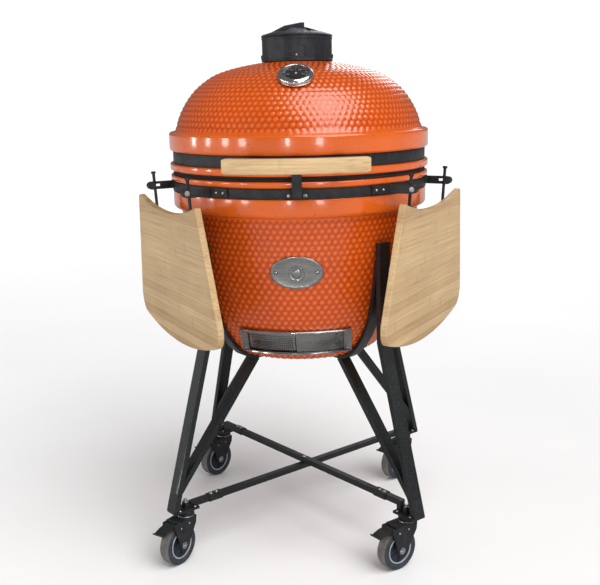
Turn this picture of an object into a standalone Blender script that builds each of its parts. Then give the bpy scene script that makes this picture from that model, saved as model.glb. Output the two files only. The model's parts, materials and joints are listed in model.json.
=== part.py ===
"""Kamado ceramic grill on a wheeled steel cart, every piece its own object.

Metres, +Z up, the front faces -Y. The origin is on the floor under the body's vertical axis.
An azimuth is measured about +Z from the front, so that 45 degrees is the front right corner.
"""

import math

import bmesh
import bpy
from mathutils import Matrix, Vector

for item in list(bpy.data.objects):
    bpy.data.objects.remove(item)

STEPS = 40  # facets round the ceramic body
GAP = 0.0003  # clearance between pieces that touch

# Outer and inner outlines of the ceramic, as (radius, height) from the bottom up
BASE_OUTER = [(0.150, 0.4555), (0.166, 0.4585), (0.186, 0.4690), (0.207, 0.4890), (0.228, 0.5180),
              (0.244, 0.5500), (0.2545, 0.5850), (0.2625, 0.6200), (0.2685, 0.6600), (0.2730, 0.7000),
              (0.2765, 0.7400), (0.2805, 0.7750), (0.2835, 0.8010), (0.2975, 0.8065), (0.3000, 0.8100),
              (0.3000, 0.8440), (0.2965, 0.8455), (0.2965, 0.8670), (0.3000, 0.8680), (0.3040, 0.8710),
              (0.3040, 0.8795), (0.3020, 0.8815)]
BASE_INNER = [(0.268, 0.8815), (0.262, 0.8000), (0.250, 0.7350), (0.240, 0.6700), (0.228, 0.6000),
              (0.206, 0.5400), (0.180, 0.5000), (0.145, 0.4835)]
DOME_OUTER = [(0.3030, 0.8925), (0.3050, 0.8945), (0.3050, 0.9060), (0.3030, 0.9080), (0.2940, 0.9090),
              (0.2940, 0.9345), (0.3020, 0.9365), (0.3050, 0.9400), (0.3050, 0.9740), (0.3030, 0.9778),
              (0.2905, 0.9810), (0.2865, 0.9930), (0.2820, 1.0080), (0.2730, 1.0280), (0.2610, 1.0480),
              (0.2430, 1.0705), (0.2220, 1.0885), (0.1960, 1.1050), (0.1640, 1.1165), (0.1250, 1.1255),
              (0.0810, 1.1325)]
DOME_INNER = [(0.062, 1.1335), (0.062, 1.1080), (0.120, 1.1010), (0.165, 1.0900), (0.205, 1.0700),
              (0.235, 1.0420), (0.255, 1.0080), (0.264, 0.9700), (0.268, 0.9300), (0.268, 0.8925)]

BAND_Z = (0.8463, 0.8662)
BAND_R = (0.2968, 0.3003)
LID_BAND_Z = (0.9098, 0.9337)
LID_BAND_R = (0.2943, 0.2976)
PIN_Y, PIN_Z, PIN_R = 0.362, 0.884, 0.006  # rear hinge axis, along X
VENT_R, VENT_Z = 0.0815, 1.1338  # flue collar and the height it stands on
CAP_Z = 1.1890

THERMO_R, THERMO_Z, THERMO_TILT = 0.2105, 1.0958, 58.0  # centre on the dome, elevation of its face
GRIP_R, GRIP_Z, GRIP_HALF_ANGLE = (0.364, 0.386), (0.9045, 0.9360), 23.2
LATCH_R, LATCH_Z = 0.3130, 0.8545

PLATE_AZ, PLATE_Z, PLATE_HALF = -1.0, 0.6836, (0.0585, 0.0365)
DOOR_AZ, DOOR_HALF, DOOR_Z = -3.0, 0.1255, (0.4800, 0.5455)

SHELF_AZ, SHELF_LEAN = {"l": -60.2, "r": 62.2}, 3.8  # board normals, and how far their feet lean inwards
SHELF_R, SHELF_Z = 0.3355, 0.8575  # fold axis of the shelf
BOARD_T, BOARD_OUT = 0.0148, 0.0111
BOARD_TOP, BOARD_FOOT, BOARD_SAG = -0.0246, -0.3050, 0.0265
ROD_X, ROD_R, ROD_TOP, ROD_FOOT = 0.1035, 0.0035, 0.031, -0.245
ARM_X, ARM_T = 0.1115, 0.0044

CART_AZ = -4.4  # the cart stands turned a little under the body
LEG_W, LEG_T = 0.032, 0.013
LEG_PATH = [(0.3970, 0.1232), (0.2875, 0.5120), (0.2842, 0.7380)]
STRUT_PATH = [(0.1500, 0.4485), (0.3870, 0.1640)]
STRAP_T = 0.008
STEM_R = 0.362
BAR = 0.014
BAR_Z = {"a": 0.1442, "b": 0.1298}
SLEEVE_R = 0.268

WHEEL_R, WHEEL_W, TRAIL = 0.048, 0.028, 0.032
CASTERS = {"fl": (-45, -33), "fr": (45, -52), "rl": (-135, -41), "rr": (135, -45)}


def material(name, colour, roughness, metallic=0.0):
    made = bpy.data.materials.new(name)
    made.use_nodes = True
    shader = made.node_tree.nodes["Principled BSDF"]
    shader.inputs["Base Color"].default_value = (*colour, 1.0)
    shader.inputs["Roughness"].default_value = roughness
    shader.inputs["Metallic"].default_value = metallic
    made.diffuse_color = (*colour, 1.0)
    return made


GLAZE = material("orange_glaze", (0.72, 0.13, 0.015), 0.22)
CLAY = material("fire_clay", (0.52, 0.42, 0.33), 0.85)
FELT = material("gasket_felt", (0.02, 0.018, 0.017), 0.95)
BAND = material("black_powder_coat", (0.018, 0.019, 0.022), 0.45, 0.3)
FRAME = material("hammered_frame_paint", (0.012, 0.013, 0.014), 0.4, 0.3)
IRON = material("cast_iron", (0.035, 0.037, 0.042), 0.6, 0.6)
STEEL = material("brushed_steel", (0.58, 0.58, 0.57), 0.3, 1.0)
CHROME = material("polished_bezel", (0.75, 0.75, 0.76), 0.12, 1.0)
DIAL = material("dial_black", (0.02, 0.02, 0.022), 0.5)
POINTER = material("pointer_red", (0.5, 0.03, 0.02), 0.4)
BAMBOO = material("bamboo", (0.62, 0.43, 0.22), 0.45)
TYRE = material("grey_rubber", (0.16, 0.16, 0.16), 0.8)
HUB = material("hub_plastic", (0.02, 0.028, 0.045), 0.35)


def keep(name, bm, paint, at=(0, 0, 0), turn=(0, 0, 0)):
    bmesh.ops.recalc_face_normals(bm, faces=bm.faces)
    mesh = bpy.data.meshes.new(name)
    bm.to_mesh(mesh)
    bm.free()
    made = bpy.data.objects.new(name, mesh)
    bpy.context.scene.collection.objects.link(made)
    made.location = at
    made.rotation_euler = [math.radians(angle) for angle in turn]
    if paint:
        mesh.materials.append(paint)
    return made


def shape(target, bm, operation):
    """A hidden tool in the target's own frame, and the Boolean that uses it."""
    number = len(target.modifiers)
    tool = keep(f"{target.name}_tool{number}", bm, None)
    tool.location = target.location
    tool.rotation_euler = target.rotation_euler
    tool.hide_render = True
    tool.display_type = "WIRE"
    step = target.modifiers.new(f"step{number}", "BOOLEAN")
    step.solver = "EXACT"
    step.operation = operation
    step.object = tool


def add(target, bm):
    shape(target, bm, "UNION")


def cut(target, bm):
    shape(target, bm, "DIFFERENCE")


def revolve(loop, steps=STEPS, start=-180.0, end=180.0):
    """A closed (radius, height) loop swept about Z between two azimuths."""
    bm = bmesh.new()
    full = end - start > 359.9
    count = steps if full else steps + 1
    rings = []
    for i in range(count):
        angle = math.radians(start + (end - start) * i / steps)
        rings.append([bm.verts.new((r * math.sin(angle), -r * math.cos(angle), z)) for r, z in loop])
    for i in range(steps):
        near, far = rings[i], rings[(i + 1) % count]
        for j in range(len(loop)):
            k = (j + 1) % len(loop)
            bm.faces.new((near[j], near[k], far[k], far[j]))
    if not full:
        bm.faces.new(rings[0])
        bm.faces.new(reversed(rings[-1]))
    bmesh.ops.remove_doubles(bm, verts=bm.verts, dist=1e-6)
    return bm


def tube(inner, outer, low, high, steps=STEPS):
    return revolve([(inner, low), (outer, low), (outer, high), (inner, high)], steps)


def block(low, high):
    bm = bmesh.new()
    size = [b - a for a, b in zip(low, high)]
    middle = [(a + b) / 2 for a, b in zip(low, high)]
    bmesh.ops.create_cube(bm, size=1.0)
    bmesh.ops.scale(bm, vec=size, verts=bm.verts)
    bmesh.ops.translate(bm, vec=middle, verts=bm.verts)
    return bm


def rod(start, end, radius, steps=16):
    bm = bmesh.new()
    start, end = Vector(start), Vector(end)
    axis = end - start
    pose = Matrix.Translation((start + end) / 2) @ axis.to_track_quat("Z", "Y").to_matrix().to_4x4()
    bmesh.ops.create_cone(bm, cap_ends=True, segments=steps, radius1=radius, radius2=radius,
                          depth=axis.length, matrix=pose)
    return bm


def prism(outline, low, high):
    """An outline in the (radius, height) plane of the front, made solid from x = low to x = high."""
    bm = bmesh.new()
    near = [bm.verts.new((low, -r, z)) for r, z in outline]
    far = [bm.verts.new((high, -r, z)) for r, z in outline]
    bm.faces.new(near)
    bm.faces.new(reversed(far))
    for i in range(len(outline)):
        k = (i + 1) % len(outline)
        bm.faces.new((near[i], far[i], far[k], near[k]))
    return bm


def beside(path, distance):
    """The path moved sideways by a distance, with mitred corners."""
    moved = []
    for i, point in enumerate(path):
        here = Vector(point)
        before = (here - Vector(path[i - 1])).normalized() if i else None
        after = (Vector(path[i + 1]) - here).normalized() if i + 1 < len(path) else None
        one, two = before or after, after or before
        normal = (Vector((one.y, -one.x)) + Vector((two.y, -two.x))).normalized()
        stretch = 1 / max(0.5, normal.dot(Vector((one.y, -one.x))))
        moved.append(tuple(here + normal * distance * stretch))
    return moved


def bar(path, thickness):
    return beside(path, thickness / 2) + beside(path, -thickness / 2)[::-1]


def body_radius(z):
    for (r0, z0), (r1, z1) in zip(BASE_OUTER, BASE_OUTER[1:]):
        if z0 <= z <= z1:
            return r0 + (r1 - r0) * (z - z0) / (z1 - z0)
    return BASE_OUTER[0][0]


def on_body(x, z, lift):
    radius = body_radius(z) + lift
    return (x, -math.sqrt(radius * radius - x * x), z)


def patch(left, right, low, high, inner, outer, across=16):
    """A piece of sheet that follows the base's outside, between two lifts above it."""
    bm = bmesh.new()
    levels = [low] + [z for _, z in BASE_OUTER if low + 0.002 < z < high - 0.002] + [high]
    up = len(levels) - 1
    layers = []
    for lift in (inner, outer):
        rows = []
        for z in levels:
            rows.append([bm.verts.new(on_body(left + (right - left) * i / across, z, lift))
                         for i in range(across + 1)])
        layers.append(rows)
    for rows in layers:
        for j in range(up):
            for i in range(across):
                bm.faces.new((rows[j][i], rows[j][i + 1], rows[j + 1][i + 1], rows[j + 1][i]))
    back, front = layers
    rim = [(0, i) for i in range(across)] + [(j, across) for j in range(up)]
    rim += [(up, across - i) for i in range(across)] + [(up - j, 0) for j in range(up)]
    for (j, i), (m, k) in zip(rim, rim[1:] + rim[:1]):
        bm.faces.new((back[j][i], back[m][k], front[m][k], front[j][i]))
    return bm


def place(radius, azimuth, z=0.0):
    angle = math.radians(azimuth)
    return (radius * math.sin(angle), -radius * math.cos(angle), z)


def ceramic():
    base = keep("base_shell", revolve([(0, 0.4555)] + BASE_OUTER + BASE_INNER + [(0, 0.4835)]), GLAZE)
    window = block((-0.096, -0.30, 0.4885), (0.096, -0.11, 0.5345))
    bmesh.ops.rotate(window, matrix=Matrix.Rotation(math.radians(DOOR_AZ), 3, "Z"), verts=window.verts)
    cut(base, window)
    dome = keep("dome_shell", revolve(DOME_OUTER + DOME_INNER), GLAZE)
    axis = Vector((0, -math.cos(math.radians(THERMO_TILT)), math.sin(math.radians(THERMO_TILT))))
    centre = Vector((0, -THERMO_R, THERMO_Z))
    cut(dome, rod(centre - axis * 0.08, centre + axis * 0.03, 0.0062))
    keep("base_gasket", tube(0.271, 0.298, 0.8818, 0.8868), FELT)
    keep("dome_gasket", tube(0.271, 0.298, 0.8872, 0.8922), FELT)


def fire_parts():
    cup = [(0.095, 0.4838), (0.140, 0.4838), (0.170, 0.5080), (0.192, 0.5450), (0.212, 0.6000),
           (0.2205, 0.6550), (0.200, 0.6550), (0.190, 0.6000), (0.168, 0.5500), (0.125, 0.5180),
           (0.120, 0.5100), (0.095, 0.5100)]
    box = keep("fire_box", revolve(cup, 32), CLAY)
    cut(box, block((-0.055, -0.23, 0.470), (0.055, -0.05, 0.5040)))
    ring = [(0.2030, 0.6553), (0.2215, 0.6553), (0.2340, 0.7400), (0.2500, 0.8450), (0.2300, 0.8450),
            (0.2150, 0.7400)]
    keep("fire_ring", revolve(ring, 32), CLAY)
    grate = keep("charcoal_grate", tube(0.012, 0.118, 0.5103, 0.5173, 32), IRON)
    for i in range(6):
        slot = block((-0.006, -0.100, 0.50), (0.006, -0.035, 0.53))
        bmesh.ops.rotate(slot, matrix=Matrix.Rotation(math.radians(60 * i), 3, "Z"), verts=slot.verts)
        cut(grate, slot)
    grid = keep("cooking_grid", tube(0.236, 0.244, 0.8453, 0.8533, 32), STEEL)
    for i in range(-4, 5):
        x = 0.0475 * i
        half = math.sqrt(0.240 ** 2 - x * x)
        add(grid, block((x - 0.0025, -half, 0.8468), (x + 0.0025, half, 0.8518)))
    for y in (-0.11, 0.11):
        add(grid, block((-0.213, y - 0.003, 0.8458), (0.213, y + 0.003, 0.8498)))


def wedge(start, end, inner, outer, low, high):
    return revolve([(inner, low), (outer, low), (outer, high), (inner, high)], 5, start, end)


def vent():
    top = CAP_Z - GAP
    collar = [(0.066, VENT_Z), (VENT_R, VENT_Z), (VENT_R, top), (0.012, top), (0.012, top - 0.004),
              (0.066, top - 0.004)]
    made = keep("vent_collar", revolve(collar, 36), IRON)
    cap = [(0.0, CAP_Z), (0.0825, CAP_Z), (0.0835, CAP_Z + 0.003), (0.0790, CAP_Z + 0.0055),
           (0.0200, 1.2115), (0.0, 1.2120)]
    lid = keep("vent_cap", revolve(cap, 36), IRON)
    ridge = [(-0.070, 1.1930), (-0.070, 1.1950), (-0.028, 1.2150), (0.010, 1.2215), (0.018, 1.2215),
             (0.018, 1.2000)]
    fin = bmesh.new()
    near = [fin.verts.new((x, -0.008, z)) for x, z in ridge]
    far = [fin.verts.new((x, 0.008, z)) for x, z in ridge]
    fin.faces.new(near)
    fin.faces.new(reversed(far))
    for i in range(len(ridge)):
        k = (i + 1) % len(ridge)
        fin.faces.new((near[i], far[i], far[k], near[k]))
    add(lid, fin)
    for i in range(4):
        cut(made, wedge(90 * i - 17, 90 * i + 17, 0.026, 0.056, top - 0.01, top + 0.01))
        cut(lid, wedge(90 * i + 28, 90 * i + 62, 0.026, 0.056, CAP_Z - 0.01, CAP_Z + 0.04))


def thermometer():
    centre = (0, -THERMO_R, THERMO_Z)
    turn = (90.0 - THERMO_TILT, 0, 0)
    case = [(0, -0.090), (0.0035, -0.090), (0.0035, 0.0006), (0.0300, 0.0006), (0.0370, 0.0030),
            (0.0385, 0.0060), (0.0365, 0.0100), (0.0310, 0.0130), (0.0285, 0.0128), (0.0280, 0.0075),
            (0, 0.0075)]
    keep("thermometer_case", revolve(case, 24), CHROME, centre, turn)
    keep("thermometer_dial", tube(0.0022, 0.0275, 0.0078, 0.0088, 24), DIAL, centre, turn)
    needle = keep("thermometer_needle", revolve([(0, 0.0079), (0.0018, 0.0079), (0.0018, 0.0095),
                                                 (0.0032, 0.0095), (0.0032, 0.0112), (0, 0.0112)], 16),
                  POINTER, centre, turn)
    add(needle, block((-0.0008, -0.0060, 0.0097), (0.0008, 0.0220, 0.0107)))


def bands():
    keep("base_band", tube(BAND_R[0], BAND_R[1], *BAND_Z), BAND)
    lid = keep("lid_band", tube(LID_BAND_R[0], LID_BAND_R[1], *LID_BAND_Z), BAND)
    add(lid, block((-0.010, -0.3085, 0.9150), (0.010, -0.2955, 0.9250)))


def handle():
    (r0, r1), (z0, z1) = GRIP_R, GRIP_Z
    soft = 0.0035
    loop = [(r0, z0 + soft), (r0 + soft, z0), (r1 - soft, z0), (r1, z0 + soft), (r1, z1 - soft),
            (r1 - soft, z1), (r0 + soft, z1), (r0, z1 - soft)]
    keep("handle_grip", revolve(loop, 24, -GRIP_HALF_ANGLE, GRIP_HALF_ANGLE), BAMBOO)
    for side, azimuth in (("l", -17.0), ("r", 17.0)):
        made = keep(f"handle_bracket_{side}", block((-0.017, -0.3025, 0.9110), (0.017, -0.2982, 0.9325)),
                    BAND, turn=(0, 0, azimuth))
        add(made, block((-0.009, -0.3635, 0.9160), (0.009, -0.3000, 0.9245)))


def latch():
    made = keep("latch_bracket", block((-0.023, -0.3046, 0.8478), (0.023, -0.3006, 0.8658)), BAND)
    for x in (-0.0145, 0.0115):
        add(made, block((x, -LATCH_R - 0.006, 0.8495), (x + 0.003, -0.3030, 0.8595)))
    hook = keep("latch_hook", rod((-0.0108, 0, 0), (0.0108, 0, 0), 0.0058, 20), BAND,
                (0, -LATCH_R, LATCH_Z))
    lever = [(-0.0033, -0.002), (0.0085, -0.004), (0.0090, 0.045), (0.0110, 0.0560), (-0.0033, 0.0575)]
    add(hook, prism(lever, -0.0103, 0.0103))


def rear(outline, low, high):
    """A prism like those of the front, at the back."""
    return prism([(-y, z) for y, z in outline], low, high)


def hinge():
    lid = keep("hinge_lid_arm", block((-0.045, 0.2982, 0.9110), (0.045, 0.3024, 0.9325)), BAND)
    shape_l = [(0.2995, 0.9115), (0.2995, 0.9320), (0.3270, 0.9320), (0.3730, 0.8940), (0.3730, 0.8760),
               (0.3560, 0.8725), (0.3460, 0.8810), (0.3125, 0.9085)]
    foot = keep("hinge_base_bracket", block((-0.045, 0.3006, 0.8478), (0.045, 0.3046, 0.8660)), BAND)
    shape_b = [(0.3015, 0.8480), (0.3015, 0.8658), (0.3170, 0.8658), (0.3500, 0.8950), (0.3735, 0.8950),
               (0.3735, 0.8740), (0.3520, 0.8560), (0.3250, 0.8480)]
    for low, high in ((-0.0365, -0.0305), (0.0305, 0.0365)):
        add(lid, rear(shape_l, low, high))
    for low, high in ((-0.0430, -0.0370), (0.0370, 0.0430)):
        add(foot, rear(shape_b, low, high))
    for piece in (lid, foot):
        cut(piece, rod((-0.06, PIN_Y, PIN_Z), (0.06, PIN_Y, PIN_Z), PIN_R + GAP, 24))
    pin = keep("hinge_pin", rod((-0.074, 0, 0), (0.074, 0, 0), PIN_R, 24), STEEL, (0, PIN_Y, PIN_Z))
    for x in (-0.0755, 0.0715):
        add(pin, rod((x, 0, 0), (x + 0.004, 0, 0), 0.010, 24))
    for side, x in (("l", -0.0575), ("r", 0.0575)):
        coil = tube(0.0150, 0.0240, -0.013, 0.013, 28)
        keep(f"hinge_spring_{side}", coil, STEEL, (x, PIN_Y, PIN_Z), (0, 90, 0))


def plate():
    bm = bmesh.new()
    half_x, half_z = PLATE_HALF
    layers = []
    for lift in (0.0006, 0.0026):
        hub = bm.verts.new(on_body(0, PLATE_Z, lift))
        rings = []
        for share in (0.4, 0.75, 1.0):
            ring = []
            for i in range(32):
                angle = 2 * math.pi * i / 32
                x = half_x * share * math.cos(angle)
                z = PLATE_Z + half_z * share * math.sin(angle)
                ring.append(bm.verts.new(on_body(x, z, lift)))
            rings.append(ring)
        for i in range(32):
            k = (i + 1) % 32
            bm.faces.new((hub, rings[0][i], rings[0][k]))
            for inner, outer in zip(rings, rings[1:]):
                bm.faces.new((inner[i], outer[i], outer[k], inner[k]))
        layers.append(rings[-1])
    for i in range(32):
        k = (i + 1) % 32
        bm.faces.new((layers[0][i], layers[0][k], layers[1][k], layers[1][i]))
    keep("name_plate", bm, STEEL, turn=(0, 0, PLATE_AZ))


def draft_door():
    low, high = DOOR_Z
    wide = DOOR_HALF
    made = keep("draft_frame", patch(-wide, wide, low, high, 0.0008, 0.0078), STEEL, turn=(0, 0, DOOR_AZ))
    cut(made, patch(-wide + 0.003, wide - 0.003, low + 0.0052, high - 0.0052, -0.0120, 0.0060))
    cut(made, block((-0.108, -0.30, low + 0.0085), (0.108, -0.10, high - 0.0085)))
    inside = (low + 0.0058, high - 0.0058)
    keep("draft_slide", patch(0.002, 0.106, *inside, 0.0040, 0.0054, 8), STEEL, turn=(0, 0, DOOR_AZ))
    keep("draft_screen", patch(-0.106, 0.0, *inside, 0.0018, 0.0032, 8), STEEL, turn=(0, 0, DOOR_AZ))


def board_outline():
    """The shelf's edge in its own plane: hollowed to the body at the top, bowed at the foot."""
    points = []
    for i in range(13):
        x = -0.166 + 0.332 * i / 12
        points.append((x, BOARD_TOP - BOARD_SAG * (1 - (x / 0.166) ** 2)))
    points += [(0.1715, -0.0265), (0.1745, -0.0320)]
    points += [(0.2305, BOARD_FOOT + 0.030), (0.2300, BOARD_FOOT + 0.010), (0.2210, BOARD_FOOT - 0.010)]
    for i in range(11):
        x = 0.195 - 0.390 * i / 10
        points.append((x, BOARD_FOOT - 0.0230 - 0.0290 * (1 - (x / 0.195) ** 2)))
    points += [(-0.2210, BOARD_FOOT - 0.010), (-0.2300, BOARD_FOOT + 0.010), (-0.2305, BOARD_FOOT + 0.030)]
    points += [(-0.1745, -0.0320), (-0.1715, -0.0265)]
    return points


def shelf(side, azimuth):
    at = place(SHELF_R, azimuth, SHELF_Z)
    turn = (SHELF_LEAN, 0, azimuth)
    bm = bmesh.new()
    outline = board_outline()
    front = [bm.verts.new((x, -BOARD_OUT, z)) for x, z in outline]
    back = [bm.verts.new((x, BOARD_T - BOARD_OUT, z)) for x, z in outline]
    bm.faces.new(front)
    bm.faces.new(reversed(back))
    for i in range(len(outline)):
        k = (i + 1) % len(outline)
        bm.faces.new((front[i], back[i], back[k], front[k]))
    keep(f"shelf_board_{side}", bm, BAMBOO, at, turn)
    deep = BOARD_T - BOARD_OUT + GAP
    made = keep(f"shelf_carrier_{side}", block((-0.107, deep, -0.112), (0.107, deep + 0.003, -0.090)),
                BAND, at, turn)
    for sign in (-1, 1):
        x = sign * ROD_X
        add(made, rod((x, deep + ROD_R, ROD_FOOT), (x, deep + ROD_R, ROD_TOP), ROD_R, 12))
        add(made, rod((x - 0.0048, 0, 0), (x + 0.0048, 0, 0), 0.0092, 20))
        add(made, rod((x, deep + ROD_R, ROD_TOP - 0.004), (x, deep + ROD_R, ROD_TOP + 0.001), 0.0055, 12))


def shelf_arm(name, azimuth, sign):
    """A plate standing off the band beside the rod, with a foot bolted along the band."""
    near, far = sign * ARM_X - ARM_T / 2, sign * ARM_X + ARM_T / 2
    low, high = SHELF_Z - 0.0096, SHELF_Z + 0.0088
    corner = math.degrees(math.asin(ARM_X / 0.3028))
    ends = sorted((sign * (corner - 0.6), sign * (corner + 9.0)))
    made = keep(name, wedge(*ends, 0.3008, 0.3046, low, high), BAND, turn=(0, 0, azimuth))
    tip = [(0.2832, low), (0.2832, high), (SHELF_R, high)]
    tip += [(SHELF_R + 0.0095 * math.cos(a), SHELF_Z + 0.0090 * math.sin(a)) for a in (0.9, 0.3, -0.3, -0.9)]
    tip.append((SHELF_R, low))
    add(made, prism(tip, near, far))
    cut(made, block((near - 0.01, -0.3245, SHELF_Z - 0.003), (far + 0.01, -0.3115, SHELF_Z + 0.003)))


def leg(name, azimuth, bar_z):
    turn = (0, 0, azimuth + CART_AZ)
    half = LEG_W / 2
    made = keep(name, prism(bar(LEG_PATH, LEG_T), -half, half), FRAME, turn=turn)
    follow = [(0.118, 0.4555)] + [point for point in BASE_OUTER if point[1] < 0.71]
    strap = beside(follow, 0.0006) + beside(follow, 0.0006 + STRAP_T)[::-1]
    add(made, prism(strap, -half + 0.001, half - 0.001))
    add(made, prism(bar(STRUT_PATH, LEG_T), -half + 0.002, half - 0.002))
    add(made, block((-0.0185, -0.4005, 0.1200), (0.0185, -0.3350, 0.1260)))
    inner = SLEEVE_R + GAP
    add(made, block((-BAR / 2, -0.3490, bar_z - BAR / 2), (BAR / 2, -inner, bar_z + BAR / 2)))
    if bar_z > 0.140:
        add(made, block((-BAR / 2, -0.3490, 0.1230), (BAR / 2, -0.3360, 0.1400)))
    add(made, rod((0, -STEM_R, 0.1150), (0, -STEM_R, 0.1390), 0.0095, 6))
    add(made, rod((0, -STEM_R, 0.1136), (0, -STEM_R, 0.1210), 0.0200, 24))


def cart():
    for name, azimuth in (("leg_frame_fl", -45), ("leg_frame_fr", 45), ("leg_frame_rl", -135),
                          ("leg_frame_rr", 135)):
        leg(name, azimuth, BAR_Z["a" if azimuth in (45, -135) else "b"])
    for name, azimuth, z in (("cross_bar_a", 45, BAR_Z["a"]), ("cross_bar_b", -45, BAR_Z["b"])):
        keep(name, block((-0.0080, -SLEEVE_R, z - 0.0070), (0.0080, SLEEVE_R, z + 0.0070)), FRAME,
             turn=(0, 0, azimuth + CART_AZ))
    keep("cradle_ring", tube(0.104, 0.136, 0.4405, 0.4464, 24), FRAME)


def fork(name, at, azimuth):
    made = keep(name, tube(0.0, 0.0200, 0.1060, 0.1132, 24), BAND, at, (0, 0, azimuth))
    add(made, block((-0.0205, -0.0455, 0.0995), (0.0205, 0.0125, 0.1075)))
    cheek = [(0.058, 0.1060), (-0.014, 0.1060), (-0.012, 0.0900), (0.018, 0.0410), (0.026, 0.0360),
             (0.036, 0.0355), (0.044, 0.0420), (0.052, 0.0750), (0.060, 0.0950)]
    for low in (-0.0205, 0.0165):
        add(made, prism(cheek, low, low + 0.0040))
    add(made, rod((-0.0240, -TRAIL, WHEEL_R), (0.0240, -TRAIL, WHEEL_R), 0.0050, 16))


def wheel(corner, at, azimuth):
    turn = (0, 90, azimuth)
    half = WHEEL_W / 2
    tread = [(0.0343, -0.0120), (0.0440, -half), (WHEEL_R, -0.0105), (WHEEL_R, 0.0105), (0.0440, half),
             (0.0343, 0.0120)]
    keep(f"tyre_{corner}", revolve(tread, 28), TYRE, at, turn)
    hub = [(0.0051, -0.0145), (0.0110, -0.0145), (0.0130, -0.0100), (0.0340, -0.0110), (0.0340, 0.0110),
           (0.0130, 0.0100), (0.0110, 0.0145), (0.0051, 0.0145)]
    keep(f"wheel_hub_{corner}", revolve(hub, 24), HUB, at, turn)


def pedal(name, at, azimuth):
    made = keep(name, rod((-0.0155, 0, 0), (0.0155, 0, 0), 0.0045, 16), BAND, at, (0, 0, azimuth))
    lever = [(-0.001, -0.002), (0.001, 0.0042), (0.022, 0.0015), (0.040, -0.0050), (0.0455, -0.0020),
             (0.0470, -0.0045), (0.0420, -0.0085), (0.022, -0.0030)]
    add(made, prism(lever, -0.0150, 0.0150))


def caster(corner, stem_azimuth, trail_azimuth):
    x, y, _ = place(STEM_R, stem_azimuth + CART_AZ)
    fork(f"caster_fork_{corner}", (x, y, 0), trail_azimuth)
    dx, dy, _ = place(TRAIL, trail_azimuth)
    wheel(corner, (x + dx, y + dy, WHEEL_R), trail_azimuth)
    px, py, _ = place(0.0520, trail_azimuth)
    pedal(f"brake_pedal_{corner}", (x + px, y + py, 0.0995), trail_azimuth)


ceramic()
fire_parts()
vent()
thermometer()
bands()
handle()
latch()
hinge()
plate()
draft_door()
for side, azimuth in SHELF_AZ.items():
    shelf(side, azimuth)
shelf_arm("shelf_arm_lf", SHELF_AZ["l"], 1)
shelf_arm("shelf_arm_lr", SHELF_AZ["l"], -1)
shelf_arm("shelf_arm_rf", SHELF_AZ["r"], -1)
shelf_arm("shelf_arm_rr", SHELF_AZ["r"], 1)
cart()
for corner, (stem, trail) in CASTERS.items():
    caster(corner, stem, trail)
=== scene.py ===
"""Looks of a kamado ceramic grill on a wheeled steel cart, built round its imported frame.

Metres, +Z up, the front faces -Y. An azimuth is measured about +Z from the front.
"""

import json
import math

import bmesh
import bpy
from mathutils import Matrix, Vector

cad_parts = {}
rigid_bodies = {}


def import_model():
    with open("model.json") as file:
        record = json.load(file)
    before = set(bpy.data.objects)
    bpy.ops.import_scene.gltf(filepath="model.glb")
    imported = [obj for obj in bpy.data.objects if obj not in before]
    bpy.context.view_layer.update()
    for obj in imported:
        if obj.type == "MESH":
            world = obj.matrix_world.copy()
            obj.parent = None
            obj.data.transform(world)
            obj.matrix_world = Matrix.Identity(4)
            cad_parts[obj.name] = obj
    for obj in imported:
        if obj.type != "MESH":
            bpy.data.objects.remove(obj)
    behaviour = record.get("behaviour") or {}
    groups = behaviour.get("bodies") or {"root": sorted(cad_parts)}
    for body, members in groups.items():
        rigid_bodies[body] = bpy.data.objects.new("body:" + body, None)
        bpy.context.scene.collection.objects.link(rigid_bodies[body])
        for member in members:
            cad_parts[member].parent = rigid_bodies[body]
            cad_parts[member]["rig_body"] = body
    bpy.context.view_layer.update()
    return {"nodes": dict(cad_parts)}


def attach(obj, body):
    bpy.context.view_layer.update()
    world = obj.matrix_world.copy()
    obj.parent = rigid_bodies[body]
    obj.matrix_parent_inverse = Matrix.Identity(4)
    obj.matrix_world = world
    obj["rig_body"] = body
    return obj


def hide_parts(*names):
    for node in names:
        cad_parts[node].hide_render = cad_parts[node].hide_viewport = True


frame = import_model()

BASE_SIDE = [(0.150, 0.4555), (0.166, 0.4585), (0.186, 0.4690), (0.207, 0.4890), (0.228, 0.5180),
             (0.244, 0.5500), (0.2545, 0.5850), (0.2625, 0.6200), (0.2685, 0.6600), (0.2730, 0.7000),
             (0.2765, 0.7400), (0.2805, 0.7750), (0.2835, 0.8010)]
BASE_RIM = [(0.2975, 0.8065), (0.3000, 0.8110), (0.3000, 0.8440), (0.2962, 0.8452), (0.2962, 0.8672),
            (0.3000, 0.8680), (0.3040, 0.8710), (0.3040, 0.8795), (0.3020, 0.8815)]
BASE_INSIDE = [(0.268, 0.8815), (0.262, 0.8000), (0.250, 0.7350), (0.240, 0.6700), (0.228, 0.6000),
               (0.206, 0.5400), (0.180, 0.5000), (0.145, 0.4835)]
DOME_RIM = [(0.3030, 0.8925), (0.3050, 0.8945), (0.3050, 0.9060), (0.3030, 0.9080), (0.2937, 0.9090),
            (0.2937, 0.9345), (0.3020, 0.9365), (0.3050, 0.9400), (0.3050, 0.9740), (0.3030, 0.9778)]
DOME_SIDE = [(0.2905, 0.9810), (0.2865, 0.9930), (0.2820, 1.0080), (0.2730, 1.0280), (0.2610, 1.0480),
             (0.2430, 1.0705), (0.2220, 1.0885), (0.1960, 1.1050), (0.1640, 1.1165), (0.1250, 1.1255),
             (0.0810, 1.1325)]
DOME_INSIDE = [(0.062, 1.1335), (0.062, 1.1080), (0.120, 1.1010), (0.165, 1.0900), (0.205, 1.0700),
               (0.235, 1.0420), (0.255, 1.0080), (0.264, 0.9700), (0.268, 0.9300), (0.268, 0.8925)]
COLUMNS = 560  # round the glazed shells
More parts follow.
